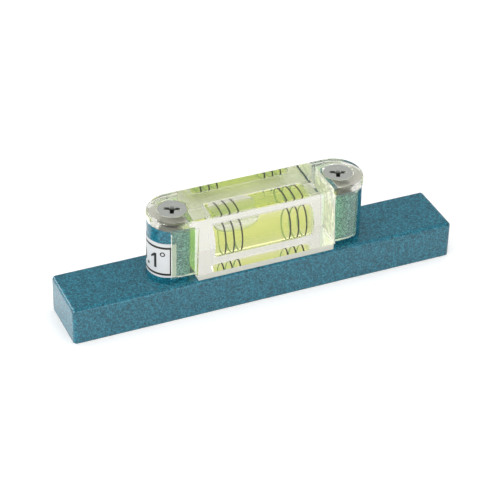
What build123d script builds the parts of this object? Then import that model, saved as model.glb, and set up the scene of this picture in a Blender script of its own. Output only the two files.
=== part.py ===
"""Precision machinist level: a short painted bar with a clear block vial screwed to two posts.

Millimetres, +Z up, +X along the bar. The origin is the middle of the ground sole.
"""
from build123d import *
from math import atan, degrees, radians, sqrt, tan
import os

# Bar: a flat casting with a ground sole
bar_length = 100.0
bar_depth = 16.0
bar_height = 10.0
bar_edge_radius = 1.0
sole_chamfer = 0.4

# Posts cast with the bar: round outside, flat towards the vial, a little nearer to the left end
vial_offset = -0.32
screw_spacing = 43.4
post_spacing = 45.36
post_radius = 5.25
post_flat = 19.2
post_top = 24.76
post_corner_radius = 0.8
post_top_chamfer = 0.4

# Clear block vial: drafted middle, slot-shaped top plate, thin skirts round the posts
block_bottom = 11.6
block_top = 27.1
middle_length = 36.2
middle_width = 15.1
plate_spacing = 41.7
plate_radius = 7.0
plate_thickness = 2.3
plate_edge_radius = 0.7
skirt_radius = 6.75
skirt_bottom = 11.75
skirt_tip = 24.4
skirt_corner_radius = 1.2
socket_clearance = 0.3
socket_flat = 18.3

# Vial bore, its ring lines and the plug that closes it
bore_radius = 4.6
bore_height = 17.4
bore_length = 26.0
line_pitch = 2.15
line_width = 0.38
line_thickness = 0.08
first_line = 6.3
line_offset = 0.12
lines_per_side = 3
degrees_per_line = 0.1
plug_radius = 4.9
plug_clearance = 0.03

# Bubble, resting at the high end of the bore
bubble_length = 11.8
bubble_width = 7.2
bubble_right_end = -1.0

# Countersunk cross-recess screws
head_diameter = 7.2
head_rim = 0.2
head_sink = 0.05
screw_diameter = 3.5
screw_length = 16.0
screw_point = 0.6
screw_clearance = 0.03
recess_length = 4.2
recess_width = 1.0
recess_depth = 1.9
recess_foot = 1.2
recess_mouth = 1.9
recess_taper = 20.0
recess_turn = -24.0

# Seating pad under the block, and the label round the left post
pad_length = 35.6
pad_width = 14.8
pad_gap = 0.05
label_bottom = 11.05
label_height = 9.65
label_half_angle = 90.0
label_thickness = 0.1

# Sizes that follow from the ones above
screw_places = (vial_offset - screw_spacing / 2, vial_offset + screw_spacing / 2)
draft = degrees(atan((middle_width / 2 - plate_radius) / (block_top - block_bottom)))
plate_bottom = block_top - plate_thickness
plate_radius_below = plate_radius + plate_thickness * tan(radians(draft))
bore_end = bore_length / 2
socket_radius = post_radius + socket_clearance
plug_length = vial_offset + socket_flat - bore_end
label_x = vial_offset - post_spacing / 2
barrel_radius = line_pitch / radians(degrees_per_line)
spirit_radius = bore_radius - line_thickness
bubble_floor = bore_height + sqrt(spirit_radius**2 - (bubble_width / 2) ** 2)
bore_axis = Axis((0, 0, bore_height), (1, 0, 0))
head_radius = head_diameter / 2
head_top = block_top - head_sink
sink_radius = head_radius + head_sink + head_rim + screw_clearance
shank_radius = screw_diameter / 2
hole_radius = shank_radius + screw_clearance

os.makedirs("parts", exist_ok=True)


def finish(piece, name):
    """Label a finished piece and write it under the same name."""
    piece.label = name
    export_step(piece, f"parts/{name}.step")


def vial_level(z):
    """A plane at a height, with its origin over the middle of the vial."""
    return Plane((vial_offset, 0, z))


def bore_fall(x):
    """How far the wall of the barrel-shaped bore falls towards its axis, x from the middle."""
    return x**2 / (2 * barrel_radius)


# Base: the bar and its two posts are one casting, drilled and tapped for the screws
with BuildPart() as base:
    with BuildSketch():
        RectangleRounded(bar_length, bar_depth, bar_edge_radius)
    extrude(amount=bar_height)
    fillet(base.faces().sort_by(Axis.Z)[-1].edges(), radius=bar_edge_radius)
    chamfer(base.faces().sort_by(Axis.Z)[0].edges(), length=sole_chamfer)
    with BuildSketch(vial_level(bar_height)) as post_plan:
        SlotCenterToCenter(post_spacing, 2 * post_radius)
        Rectangle(2 * post_flat, bar_depth, mode=Mode.SUBTRACT)
        fillet(
            post_plan.vertices().filter_by_position(Axis.X, -post_flat, post_flat),
            radius=post_corner_radius,
        )
    extrude(amount=post_top - bar_height)
    chamfer(base.faces().group_by(Axis.Z)[-1].edges(), length=post_top_chamfer)
    with Locations(*((x, 0, post_top) for x in screw_places)):
        Hole(radius=hole_radius, depth=screw_length - plate_thickness + screw_point)
finish(base.part, "base")

# Seating pad between the bar and the clear block
with BuildPart() as seating_pad:
    with BuildSketch(vial_level(bar_height)):
        Rectangle(pad_length, pad_width)
    extrude(amount=block_bottom - pad_gap - bar_height)
finish(seating_pad.part, "seating_pad")

# Bore of the vial: a slight barrel, whose curve sets how far the bubble runs per degree
with BuildPart() as bore:
    with BuildSketch(Plane.XZ) as bore_profile:
        with BuildLine():
            barrel = ThreePointArc(
                (-bore_end, bore_height + bore_radius - bore_fall(bore_end)),
                (0, bore_height + bore_radius),
                (bore_end, bore_height + bore_radius - bore_fall(bore_end)),
            )
            Polyline(barrel @ 0, (-bore_end, bore_height), (bore_end, bore_height), barrel @ 1)
        make_face()
    revolve(axis=bore_axis)

# Ring lines: six thin bands of ink, trimmed by the bore's profile so that they lie on its wall
line_places = [first_line + step * line_pitch for step in range(lines_per_side)]
line_middles = sorted(line_offset + side * place for side in (-1, 1) for place in line_places)
for number, x in enumerate(line_middles, start=1):
    with BuildPart() as ring_line:
        with BuildSketch(Plane.XZ):
            with Locations((x, bore_height + spirit_radius)):
                Rectangle(line_width, 2 * line_thickness, align=(Align.CENTER, Align.MIN))
            add(bore_profile.sketch_local, mode=Mode.INTERSECT)
        revolve(axis=bore_axis)
    finish(ring_line.part, f"ring_line_{number}")

# Vial body: one clear moulding
with BuildPart() as vial_body:
    with BuildSketch(vial_level(block_bottom)):
        Rectangle(middle_length, middle_width)
    extrude(amount=block_top - block_bottom, taper=draft)
    with BuildSketch(vial_level(plate_bottom)):
        SlotCenterToCenter(plate_spacing, 2 * plate_radius_below)
    extrude(amount=plate_thickness, taper=draft)
    with BuildSketch(vial_level(skirt_bottom)):
        SlotCenterToCenter(plate_spacing, 2 * skirt_radius)
    extrude(amount=plate_bottom - skirt_bottom)
    fillet(vial_body.faces().sort_by(Axis.Z)[-1].edges(), radius=plate_edge_radius)
    # Sockets that drop over the posts
    with BuildSketch(vial_level(block_bottom)):
        SlotCenterToCenter(post_spacing, 2 * socket_radius)
        Rectangle(2 * socket_flat, middle_width, mode=Mode.SUBTRACT)
    extrude(amount=plate_bottom - block_bottom, mode=Mode.SUBTRACT)
    # Windows that leave the outer end of each post bare
    with BuildSketch(Plane.XZ) as windows:
        Rectangle(3 * plate_spacing, 2 * plate_bottom)
        Rectangle(2 * skirt_tip, 2 * plate_bottom, mode=Mode.SUBTRACT)
        fillet(
            windows.vertices().filter_by_position(Axis.X, -skirt_tip, skirt_tip),
            radius=skirt_corner_radius,
        )
    extrude(amount=middle_width, both=True, mode=Mode.SUBTRACT)
    # Bore and plug seat
    add(bore.part, mode=Mode.SUBTRACT)
    with BuildSketch(Plane.YZ.offset(bore_end)):
        with Locations((0, bore_height)):
            Circle(plug_radius)
    extrude(amount=plug_length, mode=Mode.SUBTRACT)
    with Locations(*((x, 0, block_top) for x in screw_places)):
        CounterSinkHole(
            radius=hole_radius,
            counter_sink_radius=sink_radius,
            counter_sink_angle=90,
            depth=2 * plate_thickness,
        )
finish(vial_body.part, "vial_body")

# Filler plug: bonded into the right-hand end after filling
with BuildPart() as filler_plug:
    with BuildSketch(Plane.YZ.offset(bore_end)):
        with Locations((0, bore_height)):
            Circle(plug_radius - plug_clearance)
    extrude(amount=plug_length)
finish(filler_plug.part, "filler_plug")

# Spirit: fills the bore inside the ink, with the bubble as a pocket under the top of the bore
with BuildPart() as spirit:
    with BuildSketch(Plane.YZ.offset(-bore_end)):
        with Locations((0, bore_height)):
            Circle(spirit_radius)
    extrude(amount=bore_length)
    with BuildSketch(Plane.XY.offset(bubble_floor)):
        with Locations((bubble_right_end - bubble_length / 2, 0)):
            SlotOverall(bubble_length, bubble_width)
    extrude(amount=bore_radius, mode=Mode.SUBTRACT)
finish(spirit.part, "spirit")

# Screws: countersunk, with a cross recess
for name, x in zip(("screw_left", "screw_right"), screw_places):
    with BuildPart() as screw:
        with BuildSketch(Plane.XZ):
            with BuildLine():
                Polyline(
                    (x, head_top),
                    (x + head_radius, head_top),
                    (x + head_radius, head_top - head_rim),
                    (x + shank_radius, head_top - head_rim - head_radius + shank_radius),
                    (x + shank_radius, head_top - screw_length + screw_point),
                    (x + shank_radius - screw_point, head_top - screw_length),
                    (x, head_top - screw_length),
                    close=True,
                )
            make_face()
        revolve(axis=Axis((x, 0, 0), (0, 0, 1)))
        # Cross recess: two wings that are deepest at the axis, and a cone where they meet
        for turn in (recess_turn, recess_turn + 90):
            along, across = (Vector(*way).rotate(Axis.Z, turn) for way in ((1, 0, 0), (0, -1, 0)))
            with BuildSketch(Plane((x, 0, head_top), x_dir=along, z_dir=across)):
                with BuildLine():
                    Polyline(
                        (-recess_length / 2, 0),
                        (recess_length / 2, 0),
                        (recess_foot / 2, -recess_depth),
                        (-recess_foot / 2, -recess_depth),
                        close=True,
                    )
                make_face()
            extrude(amount=recess_width / 2, both=True, mode=Mode.SUBTRACT)
        with BuildSketch(Plane((x, 0, head_top), z_dir=(0, 0, -1))):
            Circle(recess_mouth / 2)
        extrude(amount=recess_depth, taper=recess_taper, mode=Mode.SUBTRACT)
    finish(screw.part, name)

# Label: a paper strip wrapped round the bare end of the left post
with BuildPart() as label:
    with BuildSketch(Plane.XY.offset(label_bottom)):
        with BuildLine():
            start = 180 - label_half_angle
            sweep_angle = 2 * label_half_angle
            inside = CenterArc((label_x, 0), post_radius, start, sweep_angle)
            outside = CenterArc((label_x, 0), post_radius + label_thickness, start, sweep_angle)
            Line(inside @ 0, outside @ 0)
            Line(inside @ 1, outside @ 1)
        make_face()
    extrude(amount=label_height)
finish(label.part, "label")
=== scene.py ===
# %% [markdown]
# # A precision machinist level
# The CAD model comes in as a fixed frame: a painted bar with two posts, and a clear block vial
# that two screws hold to the posts. Everything here is in metres, with +Z up and +X along the bar.
# We keep the CAD shapes wherever they are right, and spend the effort on finishes and on the
# optics of the vial, because a clear block shows everything that is inside and behind it.

# %% Load the frame
import math

import bmesh
import bpy
from mathutils import Matrix, Vector


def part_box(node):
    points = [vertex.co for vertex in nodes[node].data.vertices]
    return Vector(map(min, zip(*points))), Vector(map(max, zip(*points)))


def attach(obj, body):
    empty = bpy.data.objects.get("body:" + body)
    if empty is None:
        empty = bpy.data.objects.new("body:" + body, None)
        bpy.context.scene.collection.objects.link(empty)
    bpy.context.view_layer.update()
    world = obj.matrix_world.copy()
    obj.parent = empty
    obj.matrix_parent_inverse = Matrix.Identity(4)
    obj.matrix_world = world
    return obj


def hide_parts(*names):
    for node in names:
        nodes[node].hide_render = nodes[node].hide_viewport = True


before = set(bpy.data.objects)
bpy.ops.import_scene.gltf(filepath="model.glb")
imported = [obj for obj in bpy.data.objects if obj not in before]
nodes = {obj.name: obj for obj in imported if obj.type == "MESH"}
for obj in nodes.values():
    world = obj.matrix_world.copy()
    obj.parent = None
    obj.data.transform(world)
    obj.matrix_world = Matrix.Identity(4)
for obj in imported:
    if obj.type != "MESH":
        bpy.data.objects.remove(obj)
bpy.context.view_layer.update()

MM = 0.001
print("CAD nodes:", ", ".join(sorted(nodes)))

# %% [markdown]
# ## Small helpers
# A colour is easiest to read off a sample as an sRGB hex value, but shaders work in linear light,
# so one function converts it. A second function adds any shader node with its settings and links.
# It keeps every material below down to a list of what is in it.

# %% Colour, node and piece helpers
def hex_colour(text):
    """An sRGB hex value as a linear RGBA colour."""
    channels = [int(text[i:i + 2], 16) / 255 for i in (1, 3, 5)]
    linear = [c / 12.92 if c <= 0.04045 else ((c + 0.055) / 1.055) ** 2.4 for c in channels]
    return (*linear, 1.0)


def add_node(tree, kind, inputs=None, **settings):
    """Adds a shader node. A socket among the inputs is linked, and a plain value is set."""
    new = tree.nodes.new("ShaderNode" + kind)
    for name, value in settings.items():
        setattr(new, name, value)
    for name, value in (inputs or {}).items():
        if isinstance(value, bpy.types.NodeSocket):
            tree.links.new(value, new.inputs[name])
        else:
            new.inputs[name].default_value = value
    return new


def start_material(name):
    """An empty node material and its tree."""
    material = bpy.data.materials.new(name)
    material.use_nodes = True
    material.node_tree.nodes.clear()
    return material, material.node_tree


def end_material(tree, surface, **others):
    """Links the finished shader, and a volume if there is one, to the output."""
    links = {"Surface": surface, **{name.capitalize(): socket for name, socket in others.items()}}
    add_node(tree, "OutputMaterial", links)


def dress(piece, *materials):
    """Puts materials in a piece's slots, in place of whatever was there."""
    piece.data.materials.clear()
    for material in materials:
        piece.data.materials.append(material)


def add_piece(name, mesh, slot_name, *stands_for):
    """Shows a mesh as a piece of the object, in place of the CAD parts that it stands for; slot_name
    is not used.
    """
    piece = bpy.data.objects.new(name, mesh)
    bpy.context.scene.collection.objects.link(piece)
    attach(piece, "root")
    if stands_for:
        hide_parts(*stands_for)
    print(name, "has", len(mesh.polygons), "faces")
    return piece


# %% [markdown]
# ## Camera
# A product photographer stands well back with a long lens, so the bar's edges stay nearly
# parallel. The camera is given by the direction from the object to the lens, a small roll and a
# focal length. A 139 mm lens on a 36 mm sensor matches that flat perspective.

# %% Place the camera
AZIMUTH, ELEVATION, ROLL = (math.radians(a) for a in (-24.31, 34.95, 1.50))
CAMERA_TARGET = Vector((-1.576, 0.0, 9.864)) * MM
CAMERA_DISTANCE = 471.6 * MM
FOCAL_LENGTH, SENSOR_WIDTH = 138.82, 36

to_lens = Vector((
    math.sin(AZIMUTH) * math.cos(ELEVATION),
    -math.cos(AZIMUTH) * math.cos(ELEVATION),
    math.sin(ELEVATION),
))
level_right = Vector((math.cos(AZIMUTH), math.sin(AZIMUTH), 0))
level_up = to_lens.cross(level_right)
rolled_right = level_right * math.cos(ROLL) + level_up * math.sin(ROLL)
rolled_up = level_up * math.cos(ROLL) - level_right * math.sin(ROLL)

camera_data = bpy.data.cameras.new("camera")
camera_data.lens = FOCAL_LENGTH
camera_data.sensor_width = SENSOR_WIDTH
camera_data.clip_start = 0.01
camera = bpy.data.objects.new("camera", camera_data)
axes = Matrix((rolled_right, rolled_up, to_lens)).transposed().to_4x4()
camera.matrix_world = Matrix.Translation(CAMERA_TARGET + to_lens * CAMERA_DISTANCE) @ axes
bpy.context.scene.collection.objects.link(camera)
bpy.context.scene.camera = camera
print("camera stands", round(CAMERA_DISTANCE, 3), "m from the object")

# %% [markdown]
# ## Studio: world, floor and lamps
# Catalogue photographs are shot in a white tent. The world here is a soft white that lights the
# paint at a plain level. Floor and tent show as full white to the camera and through clear acrylic,
# so that the block has a bright surround to refract. In gloss the tent is dimmer, because the top
# of the object mirrors the far side of it, which the lamps don't reach. Light is mirrored many
# times inside a clear block before it gets out, so we let each ray bounce more often than usual.
#
# Four softboxes do the rest. The one at the left, a little in front, picks out the end of the bar
# and the label. Two weaker ones in front and overhead shine through the block onto the posts and
# the pad, and a small one behind draws the far edges. The overhead one is hidden from mirrors, or
# the screw heads would show it as plain white.

# %% World light
WALL_LIGHT = 0.62
CEILING_LIGHT = 0.40
GLOSS_LIGHT = 0.52
BOUNCES = 32


def is_any(tree, *kinds):
    """1 for a ray of any of these kinds, 0 for another."""
    path = add_node(tree, "LightPath").outputs
    found = path[kinds[0]]
    for kind in kinds[1:]:
        found = add_node(tree, "Math", {0: found, 1: path[kind]}, operation="MAXIMUM").outputs[0]
    return found


bpy.context.scene.view_settings.view_transform = "Standard"
for kind in ("max_bounces", "transmission_bounces", "glossy_bounces"):
    setattr(bpy.context.scene.cycles, kind, BOUNCES)
world = bpy.data.worlds.new("white_tent")
world.use_nodes = True
bpy.context.scene.world = world
tree = world.node_tree
tree.nodes.clear()
way = add_node(tree, "TexCoord").outputs["Generated"]
rise = add_node(tree, "SeparateXYZ", {0: way}).outputs["Z"]
soft = add_node(tree, "MapRange", {"Value": rise, "To Min": WALL_LIGHT, "To Max": CEILING_LIGHT})
gloss = add_node(tree, "MapRange", {
    "Value": is_any(tree, "Is Glossy Ray"), "To Min": soft.outputs[0], "To Max": GLOSS_LIGHT,
})
seen = is_any(tree, "Is Camera Ray", "Is Transmission Ray")
tent = add_node(tree, "MapRange", {"Value": seen, "To Min": gloss.outputs[0], "To Max": 1.0})
background = add_node(tree, "Background", {
    "Color": hex_colour("#FFFFFF"), "Strength": tent.outputs[0],
})
add_node(tree, "OutputWorld", {"Surface": background.outputs[0]})
print("tent gives", WALL_LIGHT, "of full white from its walls,", CEILING_LIGHT, "from its ceiling")

# %% Floor
FLOOR_HALF = 2.0
FLOOR_DROP = 0.05 * MM
FLOOR_LIFT = 0.25
PAPER_CLOUD = 200 * MM

floor_mesh = bpy.data.meshes.new("floor")
floor_mesh.from_pydata(
    [(x * FLOOR_HALF, y * FLOOR_HALF, -FLOOR_DROP) for x, y in ((-1, -1), (1, -1), (1, 1), (-1, 1))],
    [], [(0, 1, 2, 3)],
)
floor = bpy.data.objects.new("floor", floor_mesh)
bpy.context.scene.collection.objects.link(floor)

paper, tree = start_material("matt_white_backdrop_paper")
# Uncoated paper scatters evenly, so it has no gloss, only a faint cloudiness.
place = add_node(tree, "TexCoord").outputs["Object"]
cloud = add_node(tree, "TexNoise", {"Vector": place, "Scale": 1 / PAPER_CLOUD, "Detail": 2.0})
tone = add_node(tree, "Mix", {
    "Factor": cloud.outputs["Fac"], 6: hex_colour("#ECECEC"), 7: hex_colour("#F0F0F0"),
}, data_type="RGBA")
matt = add_node(tree, "BsdfDiffuse", {"Color": tone.outputs[2]})
seen = is_any(tree, "Is Camera Ray", "Is Glossy Ray", "Is Transmission Ray")
glow = add_node(tree, "Math", {0: seen, 1: FLOOR_LIFT}, operation="MULTIPLY")
lift = add_node(tree, "Emission", {"Color": hex_colour("#FFFFFF"), "Strength": glow.outputs[0]})
sheet = add_node(tree, "AddShader", {0: matt.outputs[0], 1: lift.outputs[0]})
end_material(tree, sheet.outputs[0])
dress(floor, paper)

# %% Lamps
def add_lamp(name, place, aim, size, power):
    """A square area lamp that points at a place on the object."""
    data = bpy.data.lights.new(name, "AREA")
    data.size = size
    data.energy = power
    lamp = bpy.data.objects.new(name, data)
    lamp.matrix_world = Matrix.Translation(place) @ (
        (Vector(aim) - Vector(place)).to_track_quat("-Z", "Y").to_matrix().to_4x4()
    )
    bpy.context.scene.collection.objects.link(lamp)
    return lamp


# Place and aim in metres, then width in metres and power in watts
add_lamp("left_softbox", (-0.62, -0.16, 0.06), (-0.03, 0, 0.01), 0.30, 3.6)
add_lamp("front_softbox", (0.10, -0.72, 0.20), (0, 0, 0.01), 0.50, 1.1)
overhead = add_lamp("overhead_softbox", (0.05, -0.05, 0.60), (0, 0, 0.02), 0.70, 2.5)
overhead.visible_glossy = False
add_lamp("edge_softbox", (-0.50, 0.62, 0.28), (-0.03, 0, 0.01), 0.25, 0.9)
print("four softboxes: left, front, overhead and behind for the edges")

# %% [markdown]
# ## Hammertone enamel on the base
# The casting is painted with hammertone enamel, a paint with fine metal flake and an additive that
# makes it draw up into small dimples as it dries. It gives the eye a teal that flickers from
# lighter to darker over about a millimetre, under a smooth gloss. The sole and the tops of the
# posts were machined after painting, so there the casting is bare. We draw the dimples with a
# smooth Voronoi pattern, which has the right rounded cells, and use it for tone and for bump alike.
# The flake gathers in pale winding lines. A noise crosses 0.5 along lines of that kind, so its
# distance from 0.5 draws them, on their own and not bound to the dimples.

# %% Hammertone enamel
DIMPLE = 0.85 * MM
FLAKE = 0.75 * MM
DIMPLE_DEPTH = 0.10 * MM
DRIFT_SHARE = 0.0012
FLAKE_LINE = 0.07
CLOUD = 12 * MM
SCRATCH = 0.25 * MM
SCRATCH_DEPTH = 0.01 * MM
SOLE_REACH = 0.2 * MM
TOP_REACH = 0.1 * MM
POST_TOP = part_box("base")[1].z
POST_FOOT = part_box("seating_pad")[0].z + 0.5 * MM
SKIRT_TIP = 24.4 * MM

enamel, tree = start_material("hammertone_enamel_sprayed")
place = add_node(tree, "TexCoord").outputs["Object"]
drift = add_node(tree, "TexNoise", {"Vector": place, "Scale": 1 / (2 * DIMPLE), "Detail": 2.0})
drawn = add_node(tree, "MixRGB", {
    "Fac": DRIFT_SHARE, "Color1": place, "Color2": drift.outputs["Color"],
}, blend_type="LINEAR_LIGHT")
cells = add_node(tree, "TexVoronoi", {
    "Vector": drawn.outputs[0], "Scale": 1 / DIMPLE, "Smoothness": 0.6,
}, feature="SMOOTH_F1")
flakes = add_node(tree, "TexNoise", {"Vector": place, "Scale": 1 / FLAKE, "Detail": 1.0})
level = add_node(tree, "Math", {0: flakes.outputs["Fac"], 1: 0.5}, operation="SUBTRACT")
ridge = add_node(tree, "Math", {0: level.outputs[0]}, operation="ABSOLUTE")
wide = add_node(tree, "TexNoise", {"Vector": place, "Scale": 1 / CLOUD, "Detail": 2.0})
mottle = add_node(tree, "MapRange", {
    "Value": cells.outputs["Distance"], "From Min": 0.15, "From Max": 0.65,
})
tone = add_node(tree, "Mix", {
    "Factor": mottle.outputs[0], 6: hex_colour("#02414F"), 7: hex_colour("#125C70"),
}, data_type="RGBA")
fleck = add_node(tree, "MapRange", {
    "Value": ridge.outputs[0], "From Max": FLAKE_LINE, "To Min": 0.95, "To Max": 0.0,
})
# Behind the clear skirts, light that the acrylic guides there picks the flake out more strongly. The
# renderer doesn't carry that light, so the lines are drawn paler on that part of the posts.
spot = add_node(tree, "SeparateXYZ", {0: place}).outputs
rise = spot["Z"]
on_post = add_node(tree, "Math", {0: rise, 1: POST_FOOT}, operation="GREATER_THAN")
from_origin = add_node(tree, "Math", {0: spot["X"]}, operation="ABSOLUTE")
within = add_node(tree, "Math", {0: from_origin.outputs[0], 1: SKIRT_TIP}, operation="LESS_THAN")
in_skirt = add_node(tree, "Math", {
    0: on_post.outputs[0], 1: within.outputs[0],
}, operation="MULTIPLY")
flake_tone = add_node(tree, "Mix", {
    "Factor": in_skirt.outputs[0], 6: hex_colour("#268397"), 7: hex_colour("#8CBFC4"),
}, data_type="RGBA")
tone = add_node(tree, "Mix", {
    "Factor": fleck.outputs[0], 6: tone.outputs[2], 7: flake_tone.outputs[2],
}, data_type="RGBA")
sheen = add_node(tree, "MapRange", {"Value": wide.outputs["Fac"], "To Min": 0.34, "To Max": 0.48})
height = add_node(tree, "Math", {
    0: flakes.outputs["Fac"], 1: 0.25, 2: cells.outputs["Distance"],
}, operation="MULTIPLY_ADD")
dimples = add_node(tree, "Bump", {
    "Height": height.outputs[0], "Strength": 0.55, "Distance": DIMPLE_DEPTH,
})
paint = add_node(tree, "BsdfPrincipled", {
    "Base Color": tone.outputs[2], "Roughness": sheen.outputs[0], "Normal": dimples.outputs[0],
    "Metallic": 0.0, "IOR": 1.5, "Specular IOR Level": 0.08,
    "Coat Weight": 0.85, "Coat IOR": 1.58, "Coat Roughness": 0.08,
    "Coat Normal": dimples.outputs[0],
})
# Ground steel: the wheel leaves fine parallel scratches, drawn coarser here so that they show.
stretched = add_node(tree, "Mapping", {"Vector": place, "Scale": (0.04, 1.0, 1.0)})
scratches = add_node(tree, "TexNoise", {
    "Vector": stretched.outputs[0], "Scale": 1 / SCRATCH, "Detail": 3.0,
})
scratch_gloss = add_node(tree, "MapRange", {
    "Value": scratches.outputs["Fac"], "To Min": 0.32, "To Max": 0.50,
})
scratch_bump = add_node(tree, "Bump", {
    "Height": scratches.outputs["Fac"], "Strength": 0.2, "Distance": SCRATCH_DEPTH,
})
steel = add_node(tree, "BsdfPrincipled", {
    "Base Color": hex_colour("#ECEDEB"), "Metallic": 1.0,
    "Roughness": scratch_gloss.outputs[0], "Normal": scratch_bump.outputs[0],
})
above_sole = add_node(tree, "Math", {0: rise, 1: SOLE_REACH}, operation="GREATER_THAN")
below_top = add_node(tree, "Math", {0: rise, 1: POST_TOP - TOP_REACH}, operation="LESS_THAN")
painted = add_node(tree, "Math", {
    0: above_sole.outputs[0], 1: below_top.outputs[0],
}, operation="MULTIPLY")
coat = add_node(tree, "MixShader", {
    0: painted.outputs[0], 1: steel.outputs[0], 2: paint.outputs[0],
})
end_material(tree, coat.outputs[0])
dress(nodes["base"], enamel)
print("enamel dimples are", round(DIMPLE / MM, 2), "mm across")

# %% [markdown]
# ## Seating pad
# A whitish layer lies between the bar and the block, so that the acrylic isn't strained on the
# casting. Its colour suggests silicone rubber, cast in a sheet: matt, with a fine grain.

# %% Silicone pad
GRAIN = 0.4 * MM
GRAIN_DEPTH = 0.03 * MM

silicone, tree = start_material("white_silicone_rubber_cast")
place = add_node(tree, "TexCoord").outputs["Object"]
grain = add_node(tree, "TexNoise", {"Vector": place, "Scale": 1 / GRAIN, "Detail": 4.0})
tone = add_node(tree, "Mix", {
    "Factor": grain.outputs["Fac"], 6: hex_colour("#E1E7D7"), 7: hex_colour("#EAF0E1"),
}, data_type="RGBA")
# The side faces are drawn darker and greyer than the top and bottom faces.
normal = add_node(tree, "NewGeometry").outputs["Normal"]
facing = add_node(tree, "SeparateXYZ", {0: normal}).outputs["Z"]
slant = add_node(tree, "Math", {0: facing}, operation="ABSOLUTE")
side_face = add_node(tree, "Math", {0: slant.outputs[0], 1: 0.5}, operation="LESS_THAN")
tone = add_node(tree, "Mix", {
    "Factor": side_face.outputs[0], 6: tone.outputs[2], 7: hex_colour("#C8C9BE"),
}, data_type="RGBA")
skin = add_node(tree, "Bump", {
    "Height": grain.outputs["Fac"], "Strength": 0.25, "Distance": GRAIN_DEPTH,
})
rubber = add_node(tree, "BsdfPrincipled", {
    "Base Color": tone.outputs[2], "Roughness": 0.62, "IOR": 1.41, "Normal": skin.outputs[0],
})
end_material(tree, rubber.outputs[0])
dress(nodes["seating_pad"], silicone)

# %% [markdown]
# ## The clear block
# The block is moulded acrylic. Light bends at each of its outer faces, and where it meets the
# bottom or the back at a slant it is mirrored completely, which is why the photograph shows the
# vial two or three times. To get that right, each boundary may be there only once. The CAD block
# has a wall round its bore, and so has the spirit that fills it, so we copy the block without its
# bore wall and let the spirit's own skin stand for that boundary.

# %% Moulded acrylic and its rough end
def lets_lamps_through(tree, shader, tint):
    """A clear surface that doesn't throw a black shadow: lamp light passes it, tinted."""
    clear = add_node(tree, "BsdfTransparent", {"Color": hex_colour(tint)})
    shadow = add_node(tree, "LightPath").outputs["Is Shadow Ray"]
    return add_node(tree, "MixShader", {0: shadow, 1: shader, 2: clear.outputs[0]}).outputs[0]


PLATE_BOTTOM = 24.7 * MM
VIAL_MIDDLE = -0.32 * MM
SKIRT_ROOT = 18.15 * MM
HAZE_FROM, HAZE_FULL = 16.5 * MM, 18.0 * MM
GUIDED_FROM, GUIDED_TO = 18.2 * MM, 22.0 * MM
FILM_SHARE = 0.022
WAVE = 6 * MM
WAVE_DEPTH = 0.03 * MM
ACRYLIC_INDEX = 1.49

acrylic, tree = start_material("clear_acrylic_moulded")
# Moulded acrylic is glossy with a very slight waviness where it shrank in the mould. The thin
# skirts, which the tool cooled first, came out a little less clear than the middle, with a fine
# haze. They also guide green light from the dye, which fades with the distance from the vial. That
# light is painted in: the skirts' colour is drawn greener near the vial, a painted glow.
place = add_node(tree, "TexCoord").outputs["Object"]
flow = add_node(tree, "TexNoise", {"Vector": place, "Scale": 1 / WAVE, "Detail": 1.0})
wave = add_node(tree, "Bump", {
    "Height": flow.outputs["Fac"], "Strength": 0.25, "Distance": WAVE_DEPTH,
})
spot = add_node(tree, "SeparateXYZ", {0: place}).outputs
from_middle = add_node(tree, "Math", {0: spot["X"], 1: VIAL_MIDDLE}, operation="SUBTRACT")
from_middle = add_node(tree, "Math", {0: from_middle.outputs[0]}, operation="ABSOLUTE")
thin_end = add_node(tree, "MapRange", {
    "Value": from_middle.outputs[0], "From Min": HAZE_FROM, "From Max": HAZE_FULL,
})
haze = add_node(tree, "MapRange", {"Value": thin_end.outputs[0], "To Min": 0.02, "To Max": 0.20})
handled = add_node(tree, "Math", {0: haze.outputs[0], 1: flow.outputs["Fac"]}, operation="MULTIPLY")
below_plate = add_node(tree, "Math", {0: spot["Z"], 1: PLATE_BOTTOM}, operation="LESS_THAN")
past_root = add_node(tree, "Math", {
    0: from_middle.outputs[0], 1: SKIRT_ROOT,
}, operation="GREATER_THAN")
on_skirt = add_node(tree, "Math", {
    0: past_root.outputs[0], 1: below_plate.outputs[0],
}, operation="MULTIPLY")
near_vial = add_node(tree, "MapRange", {
    "Value": from_middle.outputs[0], "From Min": GUIDED_FROM, "From Max": GUIDED_TO,
    "To Min": 1.0, "To Max": 0.3,
})
painted_glow_near_vial = add_node(tree, "Math", {
    0: on_skirt.outputs[0], 1: near_vial.outputs[0],
}, operation="MULTIPLY")
# Painted glow: the skirts are drawn greener near the vial, in place of the dye's light that they
# guide.
tone = add_node(tree, "Mix", {
    "Factor": painted_glow_near_vial.outputs[0], 6: hex_colour("#E0DFD8"), 7: hex_colour("#D2F3C4"),
}, data_type="RGBA")
clear = add_node(tree, "BsdfPrincipled", {
    "Base Color": tone.outputs[2], "Transmission Weight": 1.0, "IOR": ACRYLIC_INDEX,
    "Roughness": handled.outputs[0], "Normal": wave.outputs[0],
})
film = add_node(tree, "BsdfDiffuse", {"Color": hex_colour("#DDF3E2")})
film_share = add_node(tree, "Math", {0: on_skirt.outputs[0], 1: FILM_SHARE}, operation="MULTIPLY")
hazed = add_node(tree, "MixShader", {
    0: film_share.outputs[0], 1: clear.outputs[0], 2: film.outputs[0],
})
end_material(tree, lets_lamps_through(tree, hazed.outputs[0], "#FEFEFD"))

CHIP = 2.2 * MM
CHIP_DEPTH = 0.4 * MM
TOOL_MARK = 1.5 * MM
CRUMB = 1.7 * MM

frosted, tree = start_material("clear_acrylic_faced_off")
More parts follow.
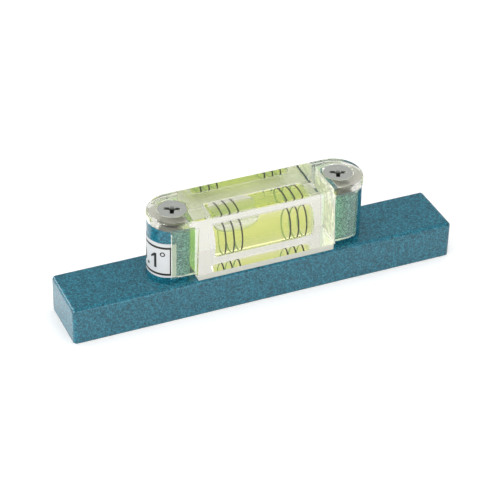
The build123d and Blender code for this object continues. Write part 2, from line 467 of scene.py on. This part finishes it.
# The filled end was faced off with a cutter after the plug was bonded in. The tool marks and
# crazing scatter light, so that end looks white and speckled. The tips and the lower edges of the
# skirts were trimmed with the same cutter.
place = add_node(tree, "TexCoord").outputs["Object"]
chips = add_node(tree, "TexVoronoi", {
    "Vector": place, "Scale": 1 / CHIP, "Smoothness": 0.4,
}, feature="SMOOTH_F1")
marks = add_node(tree, "TexNoise", {"Vector": place, "Scale": 1 / TOOL_MARK, "Detail": 2.0})
rough = add_node(tree, "MapRange", {"Value": marks.outputs["Fac"], "To Min": 0.40, "To Max": 0.75})
tool = add_node(tree, "Bump", {
    "Height": chips.outputs["Distance"], "Strength": 0.7, "Distance": CHIP_DEPTH,
})
ground = add_node(tree, "BsdfPrincipled", {
    "Base Color": hex_colour("#FCFCFA"), "Transmission Weight": 1.0, "IOR": ACRYLIC_INDEX,
    "Roughness": rough.outputs[0], "Normal": tool.outputs[0],
})
crumbs = add_node(tree, "TexNoise", {"Vector": place, "Scale": 1 / CRUMB, "Detail": 1.0})
speck = add_node(tree, "MapRange", {
    "Value": crumbs.outputs["Fac"], "From Min": 0.38, "From Max": 0.60,
    "To Min": 0.35, "To Max": 0.85,
})
white = add_node(tree, "BsdfDiffuse", {"Color": hex_colour("#F7F7F2")})
speckled = add_node(tree, "MixShader", {
    0: speck.outputs[0], 1: ground.outputs[0], 2: white.outputs[0],
})
end_material(tree, lets_lamps_through(tree, speckled.outputs[0], "#FAFAF8"))

# %% Copy the block without its bore wall
BORE_HEIGHT = 17.4 * MM
SEAT_REACH = 4.95 * MM
BORE_LEFT = -13.05 * MM
FACE_PLAY = 0.05 * MM
SKIRT_FOOT = 12.0 * MM
SQUARE_ON = 0.99
rough_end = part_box("filler_plug")[1].x

source = nodes["vial_body"].data
kept_faces, kept_normals, rough_faces = [], [], []
for face in source.polygons:
    centre = face.center
    corners = [source.vertices[i].co for i in face.vertices]
    reach = max(math.hypot(c.y, c.z - BORE_HEIGHT) for c in corners)
    in_bore = reach < SEAT_REACH and BORE_LEFT < centre.x < rough_end + FACE_PLAY
    is_end = face.normal.x > SQUARE_ON and abs(centre.x - rough_end) < FACE_PLAY
    is_tip = abs(face.normal.x) > SQUARE_ON and abs(centre.x) > SKIRT_TIP - FACE_PLAY
    is_foot = face.normal.z < -SQUARE_ON and centre.z < SKIRT_FOOT and abs(centre.x) > rough_end
    is_rough = is_end or is_tip or is_foot
    if in_bore and not is_rough:
        continue
    rough_faces.append(is_rough)
    kept_faces.append(tuple(face.vertices))
    kept_normals += [tuple(source.corner_normals[i].vector) for i in face.loop_indices]
used = sorted({i for face in kept_faces for i in face})
new_index = {old: new for new, old in enumerate(used)}
block_mesh = bpy.data.meshes.new("acrylic_block")
block_mesh.from_pydata(
    [source.vertices[i].co for i in used], [],
    [tuple(new_index[i] for i in face) for face in kept_faces],
)
block_mesh.polygons.foreach_set("use_smooth", [True] * len(kept_faces))
block_mesh.normals_split_custom_set(kept_normals)
block = add_piece("acrylic_block", block_mesh, "clear_acrylic", "vial_body")
dress(block, acrylic, frosted)
block_mesh.polygons.foreach_set("material_index", [int(r) for r in rough_faces])
print("rough faces:", sum(rough_faces), "; bore wall left out:",
      len(source.polygons) - len(kept_faces), "faces")

# %% [markdown]
# ## Spirit and bubble
# The vial is filled with a dyed spirit, and the bubble is simply the part that it doesn't fill. It
# lies at the left, so the level isn't quite level. The spirit's skin is turned about the bore's
# axis as a slight barrel with rounded ends. The bubble is a second skin inside it: its roof follows
# the bore, and its underside is the liquid's flat surface, which curls up at the edge.
# Light goes from acrylic into spirit there, so the skin bends it by the ratio of the two indices,
# which is below one. The bubble's skin goes from spirit to air. One material holds both, with a
# named attribute that says which is which, because a dyed volume must be left through the same
# material by which it was entered.

# %% Spirit skin
BORE_RADIUS = 4.61 * MM
BARREL_RADIUS = 1232 * MM
BORE_END = 13.0 * MM
END_ROUND = 1.0 * MM
END_STEPS = 8
WALL_STEPS = 12
AROUND = 128


def bore_radius(x):
    """The radius of the barrel-shaped bore at a distance along it."""
    return BORE_RADIUS - x * x / (2 * BARREL_RADIUS)


corner_x = BORE_END - END_ROUND
profile = []
for step in range(END_STEPS + 1):
    angle = math.radians(90 * step / END_STEPS)
    x = -corner_x - END_ROUND * math.cos(angle)
    profile.append((x, bore_radius(corner_x) - END_ROUND * (1 - math.sin(angle))))
left_end = profile[:]
for step in range(1, WALL_STEPS):
    x = -corner_x + 2 * corner_x * step / WALL_STEPS
    profile.append((x, bore_radius(x)))
profile += [(-x, r) for x, r in reversed(left_end)]

spirit_form = bmesh.new()
rings = []
for x, r in profile:
    rings.append([
        spirit_form.verts.new((
            x,
            r * math.cos(2 * math.pi * k / AROUND),
            BORE_HEIGHT + r * math.sin(2 * math.pi * k / AROUND),
        ))
        for k in range(AROUND)
    ])
for ring, after in zip(rings, rings[1:]):
    for k in range(AROUND):
        turn = (k + 1) % AROUND
        spirit_form.faces.new((ring[k], ring[turn], after[turn], after[k]))
spirit_form.faces.new(list(reversed(rings[0])))
spirit_form.faces.new(rings[-1])
bmesh.ops.recalc_face_normals(spirit_form, faces=spirit_form.faces)
skin_count = len(spirit_form.verts)

# %% Bubble skin
BUBBLE_ENDS = (-12.75 * MM, -1.0 * MM)
BUBBLE_WIDTH = 7.0 * MM
BUBBLE_DEPTH = 1.8 * MM
FILM = 0.06 * MM
ALONG = 48
ACROSS = 32

middle = (BUBBLE_ENDS[0] + BUBBLE_ENDS[1]) / 2
half_length = (BUBBLE_ENDS[1] - BUBBLE_ENDS[0]) / 2
floor_level = BORE_RADIUS - BUBBLE_DEPTH


def bubble_section(t):
    """The loop of points round the bubble at t from -1 to 1 along it."""
    fullness = (1 - abs(t) ** 3.0) ** 0.5
    x = middle + half_length * t
    roof = bore_radius(x) - FILM
    half_width = BUBBLE_WIDTH / 2 * fullness
    rim = math.sqrt(roof * roof - half_width * half_width)
    depth = max(rim - floor_level, 0.0) * fullness
    loop = []
    for k in range(ACROSS):
        side = math.cos(2 * math.pi * k / ACROSS)
        y = half_width * math.copysign(abs(side) ** 0.8, side)
        if k <= ACROSS // 2:
            z = math.sqrt(roof * roof - y * y)
        else:
            z = rim - depth * (1 - abs(side) ** 3.0) ** 0.5
        loop.append((x, y, BORE_HEIGHT + z))
    return loop


loops = []
for step in range(1, ALONG):
    t = -math.cos(math.pi * step / ALONG)
    loops.append([spirit_form.verts.new(point) for point in bubble_section(t)])
tips = [
    spirit_form.verts.new((x, 0, BORE_HEIGHT + bore_radius(x) - FILM)) for x in BUBBLE_ENDS
]
bubble_faces = []
for loop, after in zip(loops, loops[1:]):
    for k in range(ACROSS):
        turn = (k + 1) % ACROSS
        bubble_faces.append(spirit_form.faces.new((loop[k], loop[turn], after[turn], after[k])))
for tip, loop in zip(tips, (loops[0], loops[-1])):
    for k in range(ACROSS):
        bubble_faces.append(spirit_form.faces.new((tip, loop[k], loop[(k + 1) % ACROSS])))
bmesh.ops.recalc_face_normals(spirit_form, faces=bubble_faces)
bmesh.ops.reverse_faces(spirit_form, faces=bubble_faces)

spirit_mesh = bpy.data.meshes.new("dyed_spirit")
spirit_form.to_mesh(spirit_mesh)
spirit_form.free()
which = spirit_mesh.attributes.new("is_bubble", "FLOAT", "POINT")
which.data.foreach_set("value", [float(i >= skin_count) for i in range(len(spirit_mesh.vertices))])
spirit_mesh.polygons.foreach_set("use_smooth", [True] * len(spirit_mesh.polygons))
spirit = add_piece("dyed_spirit", spirit_mesh, "green_spirit", "spirit")

# %% Dyed spirit
SPIRIT_INDEX = 1.39
WALL_ROUGHNESS, BUBBLE_ROUGHNESS = 0.06, 0.45
DYE_DENSITY, THIN_DENSITY = 240.0, 70.0
PAINTED_DYE_GLOW = 48.0

dyed, tree = start_material("dyed_mineral_spirit_poured")
# The bore is reamed, so its wall blurs what lies behind it a little, and the bubble's rim trembles,
# which softens its outline. The fluorescent dye passes yellow and green and takes out blue, more
# the longer the way through it. Its green fluorescence is painted in as a fixed emission in the
# volume, a painted glow that shines whether or not light falls on it; it veils the lines at the far
# side and makes the liquid greener the deeper we look into it. Lamp light that only crosses the
# vial meets a thinner dye, so that what stands behind it isn't left in the dark.
bubble_side = add_node(tree, "Attribute", attribute_name="is_bubble").outputs["Fac"]
wall = add_node(tree, "BsdfGlass", {
    "Color": hex_colour("#FFFFFF"), "Roughness": WALL_ROUGHNESS,
    "IOR": SPIRIT_INDEX / ACRYLIC_INDEX,
})
surface = add_node(tree, "BsdfGlass", {
    "Color": hex_colour("#FAFBF4"), "Roughness": BUBBLE_ROUGHNESS, "IOR": SPIRIT_INDEX,
})
liquid = add_node(tree, "MixShader", {0: bubble_side, 1: wall.outputs[0], 2: surface.outputs[0]})
dye = add_node(tree, "VolumeAbsorption", {"Color": hex_colour("#E4D93A"), "Density": DYE_DENSITY})
# Painted glow: a fixed green emission in the volume stands in for the dye's fluorescence.
glow = add_node(tree, "Emission", {"Color": hex_colour("#B8FFDC"), "Strength": PAINTED_DYE_GLOW})
dye_and_painted_glow = add_node(tree, "AddShader", {0: dye.outputs[0], 1: glow.outputs[0]})
thin_dye = add_node(tree, "VolumeAbsorption", {
    "Color": hex_colour("#CCFA9C"), "Density": THIN_DENSITY,
})
lamp_ray = add_node(tree, "LightPath").outputs["Is Shadow Ray"]
dyed_volume = add_node(tree, "MixShader", {
    0: lamp_ray, 1: dye_and_painted_glow.outputs[0], 2: thin_dye.outputs[0],
})
liquid = lets_lamps_through(tree, liquid.outputs[0], "#FBFCEA")
end_material(tree, liquid, volume=dyed_volume.outputs[0])
dress(spirit, dyed)

# %% [markdown]
# ## Filler plug
# After filling, a short acrylic plug is bonded into the right-hand end. The bond line is never
# perfect: it holds small bubbles and crazing that scatter light. The plug keeps its CAD shape. Its
# wall is mostly see-through, with a white speckle, and its outer end is faced off with the block.

# %% Bonded plug
BOND_VOID = 0.7 * MM
END_PLAY = 0.01 * MM

bond, tree = start_material("acrylic_plug_solvent_bonded")
# A solvent bond is nearly invisible where it is sound, and white where it isn't.
place = add_node(tree, "TexCoord").outputs["Object"]
voids = add_node(tree, "TexNoise", {"Vector": place, "Scale": 1 / BOND_VOID, "Detail": 3.0})
speckle = add_node(tree, "MapRange", {
    "Value": voids.outputs["Fac"], "From Min": 0.58, "From Max": 0.75,
    "To Min": 0.03, "To Max": 0.45,
})
sound = add_node(tree, "BsdfTransparent", {"Color": hex_colour("#FDFDFB")})
crazed = add_node(tree, "BsdfTranslucent", {"Color": hex_colour("#F4F4EE")})
joint = add_node(tree, "MixShader", {
    0: speckle.outputs[0], 1: sound.outputs[0], 2: crazed.outputs[0],
})
end_material(tree, joint.outputs[0])

plug_mesh = nodes["filler_plug"].data.copy()
plug_mesh.name = "bonded_plug"
plug = add_piece("bonded_plug", plug_mesh, "bonded_acrylic", "filler_plug")
dress(plug, bond, frosted)
plug_end = max(v.co.x for v in plug_mesh.vertices)
faced_off = [
    f.normal.x > SQUARE_ON and f.center.x > plug_end - END_PLAY for f in plug_mesh.polygons
]
plug_mesh.polygons.foreach_set("material_index", [int(f) for f in faced_off])

# %% [markdown]
# ## Ring lines
# Three lines at each side of the centre show how far the bubble has run. They are bands of black
# ink round the wall of the bore, so we see the near half sharply and the far half through the dye.

# %% Black ink
INK_FILM = 0.6 * MM

ink, tree = start_material("black_vial_ink_cured")
# Cured ink is a deep black film with a slight satin gloss that is thinner in places.
place = add_node(tree, "TexCoord").outputs["Object"]
film = add_node(tree, "TexNoise", {"Vector": place, "Scale": 1 / INK_FILM, "Detail": 2.0})
tone = add_node(tree, "Mix", {
    "Factor": film.outputs["Fac"], 6: hex_colour("#0E0F0D"), 7: hex_colour("#1E201B"),
}, data_type="RGBA")
# From inside, each line is wetted by the dyed spirit, and its inner face is drawn a dull green, a
# painted reflection of the glowing dye in front of it.
from_axis = add_node(tree, "Mapping", {
    "Vector": place, "Location": (0, 0, -BORE_HEIGHT), "Scale": (0, 1, 1),
})
outward = add_node(tree, "NewGeometry").outputs["Normal"]
faces_axis = add_node(tree, "VectorMath", {
    0: from_axis.outputs[0], 1: outward,
}, operation="DOT_PRODUCT")
painted_glow_inner_face = add_node(tree, "Math", {0: faces_axis.outputs["Value"], 1: 0.0}, operation="LESS_THAN")
tone = add_node(tree, "Mix", {
    "Factor": painted_glow_inner_face.outputs[0], 6: tone.outputs[2], 7: hex_colour("#8A9440"),
}, data_type="RGBA")
satin = add_node(tree, "MapRange", {"Value": film.outputs["Fac"], "To Min": 0.40, "To Max": 0.60})
black = add_node(tree, "BsdfPrincipled", {
    "Base Color": tone.outputs[2], "Roughness": satin.outputs[0], "IOR": 1.5,
})
end_material(tree, black.outputs[0])
line_names = sorted(name for name in nodes if name.startswith("ring_line"))
for name in line_names:
    dress(nodes[name], ink)
print(len(line_names), "ring lines inked")

# %% [markdown]
# ## Screws
# Two countersunk screws hold the block down. They are zinc plated steel: bright, slightly bluish
# and faintly grained from forming. The wings of the cross recess are deepest in the middle. Their
# upper facets are as bright as the head, and below that their colour is drawn darker towards the
# bottom, a painted shade for the deep recess.

# %% Zinc plated steel
HEAD_RADIUS = 3.6 * MM
HEAD_RIM = 0.3 * MM
CRYSTAL = 0.5 * MM
CRYSTAL_DEPTH = 0.02 * MM
RECESS_REACH = 2.15 * MM
RECESS_DEPTH = 1.2 * MM
FACET_DEPTH = 0.3 * MM

zinc, tree = start_material("zinc_plated_steel_formed")
# Bright zinc mirrors its surround softly, with a fine mottle from the crystals in the plating.
place = add_node(tree, "TexCoord").outputs["Object"]
crystals = add_node(tree, "TexNoise", {"Vector": place, "Scale": 1 / CRYSTAL, "Detail": 4.0})
head_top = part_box("screw_left")[1].z
heads_from, heads_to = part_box("screw_left")[0].x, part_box("screw_right")[1].x
screws_middle = (heads_from + heads_to) / 2
screws_apart = heads_to - heads_from - 2 * HEAD_RADIUS
spot = add_node(tree, "SeparateXYZ", {0: place}).outputs
from_middle = add_node(tree, "Math", {0: spot["X"], 1: screws_middle}, operation="SUBTRACT")
from_middle = add_node(tree, "Math", {0: from_middle.outputs[0]}, operation="ABSOLUTE")
from_screw = add_node(tree, "Math", {
    0: from_middle.outputs[0], 1: screws_apart / 2,
}, operation="SUBTRACT")
flat_place = add_node(tree, "CombineXYZ", {"X": from_screw.outputs[0], "Y": spot["Y"]})
radius = add_node(tree, "VectorMath", {0: flat_place.outputs[0]}, operation="LENGTH")
outside = add_node(tree, "Math", {
    0: radius.outputs["Value"], 1: RECESS_REACH,
}, operation="GREATER_THAN")
# Painted shade: the wings of the recess are drawn darker towards their bottom.
depth = add_node(tree, "MapRange", {
    "Value": spot["Z"], "From Min": head_top - RECESS_DEPTH, "From Max": head_top - FACET_DEPTH,
})
free_of_painted_shade = add_node(tree, "Math", {
    0: depth.outputs[0], 1: outside.outputs[0],
}, operation="MAXIMUM")
tone = add_node(tree, "Mix", {
    "Factor": crystals.outputs["Fac"], 6: hex_colour("#D4D8D1"), 7: hex_colour("#EFF2EB"),
}, data_type="RGBA")
tone = add_node(tree, "Mix", {
    "Factor": free_of_painted_shade.outputs[0], 6: hex_colour("#20221E"), 7: tone.outputs[2],
}, data_type="RGBA")
# The cone under the head is drawn darker, a painted shade for the countersink that it sits in.
on_head = add_node(tree, "Math", {0: spot["Z"], 1: head_top - HEAD_RIM}, operation="GREATER_THAN")
on_cone = add_node(tree, "Math", {
    0: outside.outputs[0], 1: on_head.outputs[0],
}, operation="SUBTRACT", use_clamp=True)
tone = add_node(tree, "Mix", {
    "Factor": on_cone.outputs[0], 6: tone.outputs[2], 7: hex_colour("#A2A69F"),
}, data_type="RGBA")
plating = add_node(tree, "MapRange", {
    "Value": crystals.outputs["Fac"], "To Min": 0.26, "To Max": 0.42,
})
skin = add_node(tree, "Bump", {
    "Height": crystals.outputs["Fac"], "Strength": 0.2, "Distance": CRYSTAL_DEPTH,
})
metal = add_node(tree, "BsdfPrincipled", {
    "Base Color": tone.outputs[2], "Metallic": 1.0, "Roughness": plating.outputs[0],
    "Normal": skin.outputs[0],
})
end_material(tree, metal.outputs[0])
for name in ("screw_left", "screw_right"):
    dress(nodes[name], zinc)

# %% [markdown]
# ## Label
# A strip of white paper is glued round the bare end of the left post. It has a thin border, and a
# plain number that says how fine one division is. We draw the print flat, as it came off the
# press, and then wrap it round the post: a distance along the paper becomes an angle.

# %% Label paper
FIBRE = 0.3 * MM
FIBRE_DEPTH = 0.02 * MM

paper_label, tree = start_material("white_label_paper_printed")
# Coated label stock is smooth and bright, with a barely visible fibre.
place = add_node(tree, "TexCoord").outputs["Object"]
fibre = add_node(tree, "TexNoise", {"Vector": place, "Scale": 1 / FIBRE, "Detail": 5.0})
tone = add_node(tree, "Mix", {
    "Factor": fibre.outputs["Fac"], 6: hex_colour("#C0C2C3"), 7: hex_colour("#CDCFD0"),
}, data_type="RGBA")
tooth = add_node(tree, "Bump", {
    "Height": fibre.outputs["Fac"], "Strength": 0.15, "Distance": FIBRE_DEPTH,
})
stock = add_node(tree, "BsdfPrincipled", {
    "Base Color": tone.outputs[2], "Roughness": 0.45, "IOR": 1.5, "Normal": tooth.outputs[0],
})
end_material(tree, stock.outputs[0])
dress(nodes["label"], paper_label)

# %% Print helpers
POST_X = -23.0 * MM
PAPER_RADIUS = 5.35 * MM
INK_HEIGHT = 0.015 * MM
INK_GAP = 0.002 * MM
OVAL_STEPS = 40
WRAP_STEP = 0.25 * MM


def wrap_print(name, flat):
    """Thickens a flat print, with x along the paper and y up, and wraps it round the left post."""
    bmesh.ops.recalc_face_normals(flat, faces=flat.faces)
    bmesh.ops.solidify(flat, geom=list(flat.faces), thickness=INK_HEIGHT)
    low = min(v.co.z for v in flat.verts)
    for v in flat.verts:
        angle = v.co.x / PAPER_RADIUS
        r = PAPER_RADIUS + INK_GAP + v.co.z - low
        v.co = (POST_X - r * math.cos(angle), -r * math.sin(angle), v.co.y)
    bmesh.ops.recalc_face_normals(flat, faces=flat.faces)
    mesh = bpy.data.meshes.new(name)
    flat.to_mesh(mesh)
    flat.free()
    piece = add_piece(name, mesh, "black_ink")
    dress(piece, ink)
    return piece


def add_strip(flat, along, up):
    """A printed rectangle, divided finely enough along the paper to bend."""
    count = max(1, math.ceil((along[1] - along[0]) / WRAP_STEP))
    columns = []
    for i in range(count + 1):
        x = along[0] + (along[1] - along[0]) * i / count
        columns.append([flat.verts.new((x, y, 0)) for y in up])
    for a, b in zip(columns, columns[1:]):
        flat.faces.new((a[0], b[0], b[1], a[1]))


def add_oval(flat, centre, outer, inner):
    """A printed oval ring, for a nought or a degree sign."""
    turns = [2 * math.pi * i / OVAL_STEPS for i in range(OVAL_STEPS)]
    loops = [
        [flat.verts.new((centre[0] + w * math.cos(t), centre[1] + h * math.sin(t), 0)) for t in turns]
        for w, h in (outer, inner)
    ]
    for i in range(OVAL_STEPS):
        j = (i + 1) % OVAL_STEPS
        flat.faces.new((loops[0][i], loops[0][j], loops[1][j], loops[1][i]))


# %% Border and number
label_low, label_high = (corner.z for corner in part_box("label"))
LINE = 0.42 * MM
RULE = 0.58 * MM
BORDER = (label_low + 0.59 * MM, label_high - 0.93 * MM)
EDGE = 7.17 * MM
DIGIT_FOOT = label_low + 2.5 * MM
DIGIT_HEIGHT = 4.1 * MM
STROKE = 0.68 * MM
POINT = 0.72 * MM

flat = bmesh.new()
add_strip(flat, (-EDGE, EDGE), (BORDER[0], BORDER[0] + RULE))
add_strip(flat, (-EDGE, EDGE), (BORDER[1] - RULE, BORDER[1]))
for side in (-1, 1):
    ends = sorted((side * EDGE, side * (EDGE - LINE)))
    add_strip(flat, ends, (BORDER[0] + RULE, BORDER[1] - RULE))
wrap_print("label_border", flat)

flat = bmesh.new()
# Each sign stands at an angle round the post, from the middle of the paper
one_x = math.radians(33) * PAPER_RADIUS
add_strip(flat, (one_x - STROKE / 2, one_x + STROKE / 2), (DIGIT_FOOT, DIGIT_FOOT + DIGIT_HEIGHT))
flag = [
    (one_x - STROKE / 2, DIGIT_FOOT + DIGIT_HEIGHT),
    (one_x - 1.9 * STROKE, DIGIT_FOOT + DIGIT_HEIGHT - 1.0 * MM),
    (one_x - 1.9 * STROKE, DIGIT_FOOT + DIGIT_HEIGHT - 1.55 * MM),
    (one_x - STROKE / 2, DIGIT_FOOT + DIGIT_HEIGHT - 0.9 * MM),
]
flat.faces.new([flat.verts.new((x, y, 0)) for x, y in flag])
point_x = math.radians(7.5) * PAPER_RADIUS
add_strip(flat, (point_x - POINT / 2, point_x + POINT / 2), (DIGIT_FOOT, DIGIT_FOOT + POINT))
nought_x = math.radians(-17) * PAPER_RADIUS
nought = (1.35 * MM, DIGIT_HEIGHT / 2)
add_oval(flat, (nought_x, DIGIT_FOOT + nought[1]), nought, (nought[0] - STROKE, nought[1] - 0.55 * MM))
degree_x = math.radians(53.4) * PAPER_RADIUS
degree_z = DIGIT_FOOT + DIGIT_HEIGHT
add_oval(flat, (degree_x, degree_z), (0.66 * MM, 0.66 * MM), (0.36 * MM, 0.36 * MM))
wrap_print("label_number", flat)
